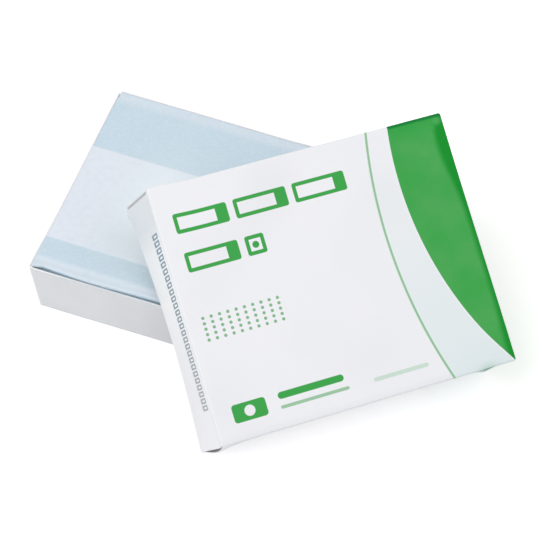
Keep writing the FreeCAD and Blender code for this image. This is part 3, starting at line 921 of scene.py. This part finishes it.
class Pack:
    """The wrapped block: paper drawn over glass, and lying double along the middle."""

    GROWTH = Vector((0.51, 0.41, 0.0))  # how much further than its CAD solid the paper swells
    FRONT_ROOM = 0.91  # and how much less far it reaches at the front
    LIP = (0.75, 0.63)  # height of the lip over the tray's tabs, and how far it stands out
    LEAN = 1.9  # how much further in than its top each side's foot is
    EDGE, FRONT_EDGE, FRONT_REACH = 0.15, 1.1, 4.0  # rounding of its edges, more near the front
    SIDE = 3.0  # width of the strip of the top that moves with the front or back side
    FRONT_BULGE = (-24.0, 13.5, 0.88)  # a bulge of the front side: middle, width and height
    CORNER_FILL = 1.1  # how far the lip reaches forward into the tray's front left corner
    CORNER_REACH = 5.0  # length over which that fades
    SNUG = 0.06  # how far beyond the tray's own stretch the paper follows it to the left
    CROWN = (0.14, 0.04, 12.0)  # height of the top at its ends, how much more inside, from where
    RIB = 0.012  # height of the ribs that the slides' edges make
    SAG = (0.35, 3.0)  # how far the top falls at the front shoulder, and over what length
    FURROW = (0.05, 0.5)  # depth and width of the crease
    UNEVEN = (0.05, 6.0)  # height and size of the soft unevenness
    NEAR = (0, 0.1, 0.25, 0.45, 0.7, 1.0, 1.5, 2.1)  # places near an edge, in its rounding's radii
    INNER = 3.0  # from here inwards they are evenly spaced

    def __init__(self):
        low, high = (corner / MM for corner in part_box("slide_pack"))
        self.low, self.high = low - self.GROWTH, high + self.GROWTH
        self.low.y = low.y + self.FRONT_ROOM

    def stations(self, axis, radius, pitch):
        """Places along an edge of the plain box, closer together near its ends."""
        low, high = self.low[axis], self.high[axis]
        near = [radius * share for share in self.NEAR]
        return stations(low, high, near, self.INNER, round((high - low - 2 * self.INNER) / pitch))

    def rounded(self, x, y, z):
        """A point of the plain box, moved onto its rounded edges, and the way outwards there."""
        share = fade(y - self.low.y, self.FRONT_REACH) * mix(1.0, 0.4, self.in_corner(x))
        edge = mix(self.EDGE, self.FRONT_EDGE, share)
        radius = (self.EDGE, edge, edge)
        inner = [min(max(value, low + r), high - r)
                 for value, low, high, r in zip((x, y, z), self.low, self.high, radius)]
        away = Vector([(value - core) / r for value, core, r in zip((x, y, z), inner, radius)])
        away.normalize()
        return Vector([core + part * r for core, part, r in zip(inner, away, radius)]), away

    def place(self, x, y, z):
        """A point of the plain box, moved onto the wrapped block."""
        point, away = self.rounded(x, y, z)
        middle, half = (self.low + self.high) / 2, (self.high - self.low) / 2
        height = (point.z - self.low.z) / (self.high.z - self.low.z)
        at_front, at_back = fade(y - self.low.y, self.SIDE), fade(self.high.y - y, self.SIDE)

        lip_height, lip_width = self.LIP
        under_lip = smooth((self.high.z - point.z - lip_height) / 0.3)
        lean = self.LEAN * (1 - height)
        point.x -= (lean + lip_width * under_lip) * (point.x - middle.x) / half.x
        point.y -= lean * (point.y - middle.y) / half.y

        point.y += back_bow((x - self.low.x) / (2 * half.x)) * at_back * height
        point.y -= hump(x, *self.FRONT_BULGE) * height * at_front
        point.y -= self.CORNER_FILL * self.in_corner(x) ** 2 * (1 - under_lip) * at_front

        near = fade(y - self.low.y, TRAY_STRETCH_Y) * fade(x - self.low.x, TRAY_STRETCH_X[0])
        aside = (TRAY_STRETCH[0] + self.SNUG) * near - self.GROWTH.x * at_back
        point.x += aside * (point.x - middle.x) / half.x
        point.z += max(away.z, 0.0) * self.rise(x, y)
        return point

    def in_corner(self, x):
        """1 at the left end, where the paper fills the tray's corner, and 0 clear of it."""
        return fade(x - self.low.x, self.CORNER_REACH)

    def doubled(self, y):
        """1 where the paper lies double."""
        return smooth((y - OVERLAP[0]) / 0.3 + 0.5) * smooth((OVERLAP[1] - y) / 0.3 + 0.5)

    def rise(self, x, y):
        """How far the top stands above its level."""
        ribs = self.RIB * math.cos(math.tau * y / SLIDE_PITCH)
        level, more, inwards = self.CROWN
        from_ends = smooth((x - self.low.x) / inwards) * smooth((self.high.x - x) / inwards)
        crown = level + more * from_ends
        depth, length = self.SAG
        fall = depth * smooth((SHOULDER - y) / length) * (1 - self.in_corner(x))
        depth, width = self.FURROW
        fall += depth * hump(y, CREASE, width)
        height, size = self.UNEVEN
        soft = height * noise.noise(Vector((x / size, y / size, 1.0)))
        return OVERLAP_STEP * (self.doubled(y) - 0.5) + ribs + crown - fall + soft

    def single(self, y, z):
        """1 where one layer of paper lies on the glass, 0 where it lies double or stands off.

        Down the sides it rises to 2, for painted light that lightens and blues the paper in the gap
        by the tray's walls.
        """
        at_front = 0.6 * smooth((SHOULDER - y) / 1.2 + 0.5)
        at_back = 0.45 * smooth((y - BACK_SHOULDER) / 2.4 + 0.5)
        down = smooth((self.high.z - z - 0.2) / 1.2)
        return mix((1 - self.doubled(y)) * (1 - max(at_front, at_back)), 2.0, down)

    def build(self, sheet):
        """Adds the block's six faces to the sheet."""
        low, high = self.low, self.high
        xs = self.stations(0, self.EDGE, 1.3)
        ys = self.stations(1, self.FRONT_EDGE, SLIDE_PITCH / 4)
        zs = self.stations(2, self.FRONT_EDGE, 2.0)

        def face(rows):
            sheet.patch([[(self.place(x, y, z), (x, y, self.single(y, z))) for x, y, z in row]
                         for row in rows])

        face([[(x, y, high.z) for x in xs] for y in ys])
        face([[(x, y, low.z) for x in xs] for y in reversed(ys)])
        face([[(x, low.y, z) for x in xs] for z in zs])
        face([[(x, high.y, z) for x in reversed(xs)] for z in zs])
        face([[(low.x, y, z) for y in reversed(ys)] for z in zs])
        face([[(high.x, y, z) for y in ys] for z in zs])


def make_pack():
    """The wrapped block of slides."""
    sheet = Sheet()
    Pack().build(sheet)
    piece = sheet.finish("wrapped_slides", Matrix.Scale(MM, 4), [wrap_paper()])
    declare(piece, "slide_pack")


# ---- stage, light and camera

FLOOR_SIZE = 12.0  # metres
FLOOR_BRIGHTER = 0.42  # strength of a glow on the floor that only the camera sees
WORLD_LIGHT, WORLD_SEEN = 0.5, 1.0  # the surround's strength as a light, and to the camera
KEY_LAMP = ((-0.406, -0.406, 0.819), 8.6)  # direction that it shines from, and its power in watts
FILL_LAMP = ((0.574, 0.0, 0.819), 2.5)
LAMP_SIZE = 1.0  # metres
LAMP_DISTANCE = 1.3  # metres from the origin


def make_floor():
    """A wide floor, which the camera sees a little brighter than it is, so that it is white."""
    bpy.ops.mesh.primitive_plane_add(size=FLOOR_SIZE)
    floor = bpy.context.object
    floor.name = "floor"
    nodes = Nodes("floor", roughness=0.9, specular=0.1)
    nodes.colour = linear(FLOOR_GREY)
    camera = nodes.node("LightPath").outputs["Is Camera Ray"]
    strength = nodes.calc("MULTIPLY", camera, FLOOR_BRIGHTER)
    glow = nodes.node("Emission", (linear(FLOOR_GLOW), strength))
    both = nodes.node("AddShader", (nodes.shader.outputs[0], glow.outputs[0]))
    nodes.feed(nodes.tree.nodes["Material Output"].inputs[0], both.outputs[0])
    floor.data.materials.append(nodes.done())


def make_world():
    """A white surround for the camera, and a softer one for the light."""
    world = bpy.data.worlds.new("studio")
    bpy.context.scene.world = world
    world.use_nodes = True
    tree = world.node_tree
    shader = tree.nodes["Background"]
    shader.inputs["Color"].default_value = (1, 1, 1, 1)
    path = tree.nodes.new("ShaderNodeLightPath")
    level = tree.nodes.new("ShaderNodeMapRange")
    level.inputs["To Min"].default_value = WORLD_LIGHT
    level.inputs["To Max"].default_value = WORLD_SEEN
    tree.links.new(path.outputs["Is Camera Ray"], level.inputs[0])
    tree.links.new(level.outputs[0], shader.inputs["Strength"])


def make_lamp(name, direction, power):
    """A large soft square lamp that shines on the object from a direction."""
    data = bpy.data.lights.new(name, "AREA")
    data.size = LAMP_SIZE
    data.energy = power
    lamp = add(name, data)
    lamp.location = Vector(direction).normalized() * LAMP_DISTANCE
    lamp.rotation_euler = Vector(direction).to_track_quat("Z", "Y").to_euler()


CAMERA_LENS = 141.2  # focal length
CAMERA_AIM = (22.86, -11.93, 20.0)  # what it looks at
CAMERA_AZIMUTH = -16.28  # how far to the right of straight ahead it looks
CAMERA_ELEVATION = 54.58  # how steeply down
CAMERA_ROLL = 3.436
CAMERA_DISTANCE = 600.5


def make_camera():
    """The camera, looking down on the box from its front, a little from the right."""
    data = bpy.data.cameras.new("camera")
    data.lens = CAMERA_LENS
    data.clip_start = 0.05
    camera = add("camera", data)
    azimuth, elevation = math.radians(CAMERA_AZIMUTH), math.radians(CAMERA_ELEVATION)
    level, down = math.cos(elevation), math.sin(elevation)
    ahead = Vector((math.sin(azimuth) * level, math.cos(azimuth) * level, -down))
    turn = ahead.to_track_quat("-Z", "Y").to_matrix().to_4x4()
    roll = Matrix.Rotation(math.radians(CAMERA_ROLL), 4, "Z")
    place = Vector(CAMERA_AIM) * MM - ahead * CAMERA_DISTANCE * MM
    camera.matrix_world = Matrix.Translation(place) @ turn @ roll
    bpy.context.scene.camera = camera


bpy.context.scene.view_settings.view_transform = "Standard"
make_camera()
make_world()
make_floor()
make_lamp("key", *KEY_LAMP)
make_lamp("fill", *FILL_LAMP)
inside = inside_of_board()
make_lid(inside)
make_tray(inside)
make_pack()
